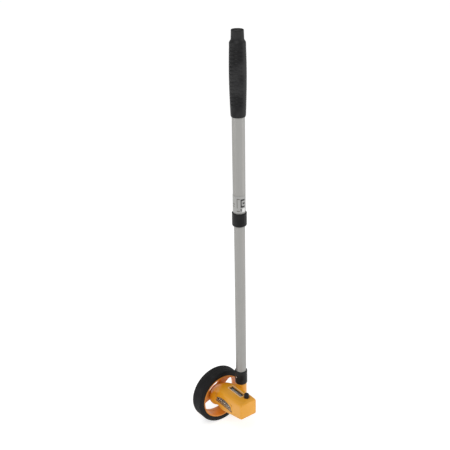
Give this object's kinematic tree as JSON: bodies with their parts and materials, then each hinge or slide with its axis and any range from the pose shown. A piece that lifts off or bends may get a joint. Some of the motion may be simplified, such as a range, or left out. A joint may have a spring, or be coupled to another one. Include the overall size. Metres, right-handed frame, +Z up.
{
  "type": "measuring wheel",
  "caption": "Compact walking distance measurer: a rubber-tyred wheel beside a small counter case on a telescoping pole with a twist lock and a moulded hand grip.",
  "frame": {"origin": "centre of the hub cap's flat outer face, on the wheel's axle", "axes": "+Z up the pole, +Y along the axle out of the hub cap (the case is towards -Y), +X the rolling direction"},
  "size_m": [0.097, 0.0978, 0.6865],
  "materials": {
    "tyre_rubber": "matt charcoal rubber with a finely ribbed tread",
    "wheel_orange": "satin moulded orange plastic",
    "case_yellow": "satin moulded yellow-orange plastic",
    "black_plastic": "satin black moulded plastic",
    "grip_rubber": "ribbed black rubber",
    "pole_aluminium": "satin anodised, drawn lengthways",
    "steel": "plated steel",
    "white_nylon": "natural nylon",
    "drum_white": "off-white drum with plain black figures",
    "clear_window": "clear polished acrylic",
    "side_label": null,
    "pole_label": null
  },
  "bodies": {
    "upper_pole": {"upper_tube": "pole_aluminium", "clamp_collet": "black_plastic", "hand_grip": "grip_rubber", "end_plug": "black_plastic", "pole_label": "pole_label"},
    "lock": {"lock_ring": "black_plastic"},
    "lower": {"lower_tube": "pole_aluminium", "lower_collar": "black_plastic", "collar_pin": "steel", "guide_bush": "white_nylon", "case_shell": "case_yellow", "base_cover": "case_yellow", "cover_screw_1": "steel", "cover_screw_2": "steel", "cover_screw_3": "steel", "cover_screw_4": "steel", "wheel_side_bush": "white_nylon", "inner_bush": "white_nylon", "window_lens": "clear_window", "side_label": "side_label", "counter_frame": "steel", "counter_screw_1": "steel", "counter_screw_2": "steel", "counter_shaft": "steel", "pinion_shaft": "steel", "comb_rod": "steel", "idler_pin": "steel", "button_spring": "steel"},
    "rolling_wheel": {"tyre": "tyre_rubber", "wheel": "wheel_orange", "hub_cap": "black_plastic", "axle": "steel", "axle_screw": "steel", "axle_screw_washer": "steel", "thrust_washer": "white_nylon", "retaining_clip": "steel", "drive_gear": "white_nylon"},
    "idler": {"idler_gear": "white_nylon"},
    "drum_1": {"input_gear": "white_nylon", "number_drum_1": "drum_white"},
    "drum_2": {"number_drum_2": "drum_white"},
    "drum_3": {"number_drum_3": "drum_white"},
    "drum_4": {"number_drum_4": "drum_white"},
    "drum_5": {"number_drum_5": "drum_white"},
    "pinion_1": {"carry_pinion_1": "white_nylon"},
    "pinion_2": {"carry_pinion_2": "white_nylon"},
    "pinion_3": {"carry_pinion_3": "white_nylon"},
    "pinion_4": {"carry_pinion_4": "white_nylon"},
    "button": {"reset_button": "black_plastic"},
    "comb": {"reset_comb": "steel"}
  },
  "joints": [
    {"name": "telescope", "type": "slide", "parent": "upper_pole", "child": "lower", "axis": [0, 0, 1], "range_m": [0, 0.24]},
    {"name": "lock_twist", "type": "hinge", "parent": "upper_pole", "child": "lock", "pos_m": [0.022, -0.049, 0.3425], "axis": [0, 0, 1], "range_deg": [0, 90]},
    {"name": "wheel_spin", "type": "hinge", "parent": "lower", "child": "rolling_wheel", "pos_m": [0, -0.012, 0], "axis": [0, 1, 0], "continuous": true},
    {"name": "idler_spin", "type": "hinge", "parent": "lower", "child": "idler", "pos_m": [-0.00442, -0.0396, 0.01062], "axis": [0, 1, 0], "continuous": true},
    {"name": "drum_1_spin", "type": "hinge", "parent": "lower", "child": "drum_1", "pos_m": [0.003, -0.047, 0.0194], "axis": [0, 1, 0], "continuous": true},
    {"name": "drum_2_spin", "type": "hinge", "parent": "lower", "child": "drum_2", "pos_m": [0.003, -0.0538, 0.0194], "axis": [0, 1, 0], "continuous": true},
    {"name": "drum_3_spin", "type": "hinge", "parent": "lower", "child": "drum_3", "pos_m": [0.003, -0.0602, 0.0194], "axis": [0, 1, 0], "continuous": true},
    {"name": "drum_4_spin", "type": "hinge", "parent": "lower", "child": "drum_4", "pos_m": [0.003, -0.0666, 0.0194], "axis": [0, 1, 0], "continuous": true},
    {"name": "drum_5_spin", "type": "hinge", "parent": "lower", "child": "drum_5", "pos_m": [0.003, -0.073, 0.0194], "axis": [0, 1, 0], "continuous": true},
    {"name": "pinion_1_spin", "type": "hinge", "parent": "lower", "child": "pinion_1", "pos_m": [-0.00195, -0.0504, 0.01445], "axis": [0, 1, 0], "continuous": true},
    {"name": "pinion_2_spin", "type": "hinge", "parent": "lower", "child": "pinion_2", "pos_m": [-0.00195, -0.0568, 0.01445], "axis": [0, 1, 0], "continuous": true},
    {"name": "pinion_3_spin", "type": "hinge", "parent": "lower", "child": "pinion_3", "pos_m": [-0.00195, -0.0632, 0.01445], "axis": [0, 1, 0], "continuous": true},
    {"name": "pinion_4_spin", "type": "hinge", "parent": "lower", "child": "pinion_4", "pos_m": [-0.00195, -0.0696, 0.01445], "axis": [0, 1, 0], "continuous": true},
    {"name": "button_press", "type": "slide", "parent": "lower", "child": "button", "axis": [0, 0, 1], "range_m": [-0.002, 0], "stiffness_N_per_m": 300, "springref_m": 0.003, "deforming": ["button_spring"]},
    {"name": "comb_turn", "type": "hinge", "parent": "lower", "child": "comb", "pos_m": [0.0116, -0.065, 0.0116], "axis": [0, 1, 0], "range_deg": [-21, 0]}
  ],
  "couplings": [
    {"joint": "idler_spin", "follows": "wheel_spin", "ratio": -1.0909},
    {"joint": "drum_1_spin", "follows": "wheel_spin", "ratio": 1},
    {"joint": "drum_2_spin", "follows": "wheel_spin", "ratio": 0.1},
    {"joint": "drum_3_spin", "follows": "wheel_spin", "ratio": 0.01},
    {"joint": "drum_4_spin", "follows": "wheel_spin", "ratio": 0.001},
    {"joint": "drum_5_spin", "follows": "wheel_spin", "ratio": 0.0001},
    {"joint": "pinion_1_spin", "follows": "wheel_spin", "ratio": -0.25},
    {"joint": "pinion_2_spin", "follows": "wheel_spin", "ratio": -0.025},
    {"joint": "pinion_3_spin", "follows": "wheel_spin", "ratio": -0.0025},
    {"joint": "pinion_4_spin", "follows": "wheel_spin", "ratio": -0.00025},
    {"joint": "comb_turn", "follows": "button_press", "rad_per_m": 183}
  ]
}
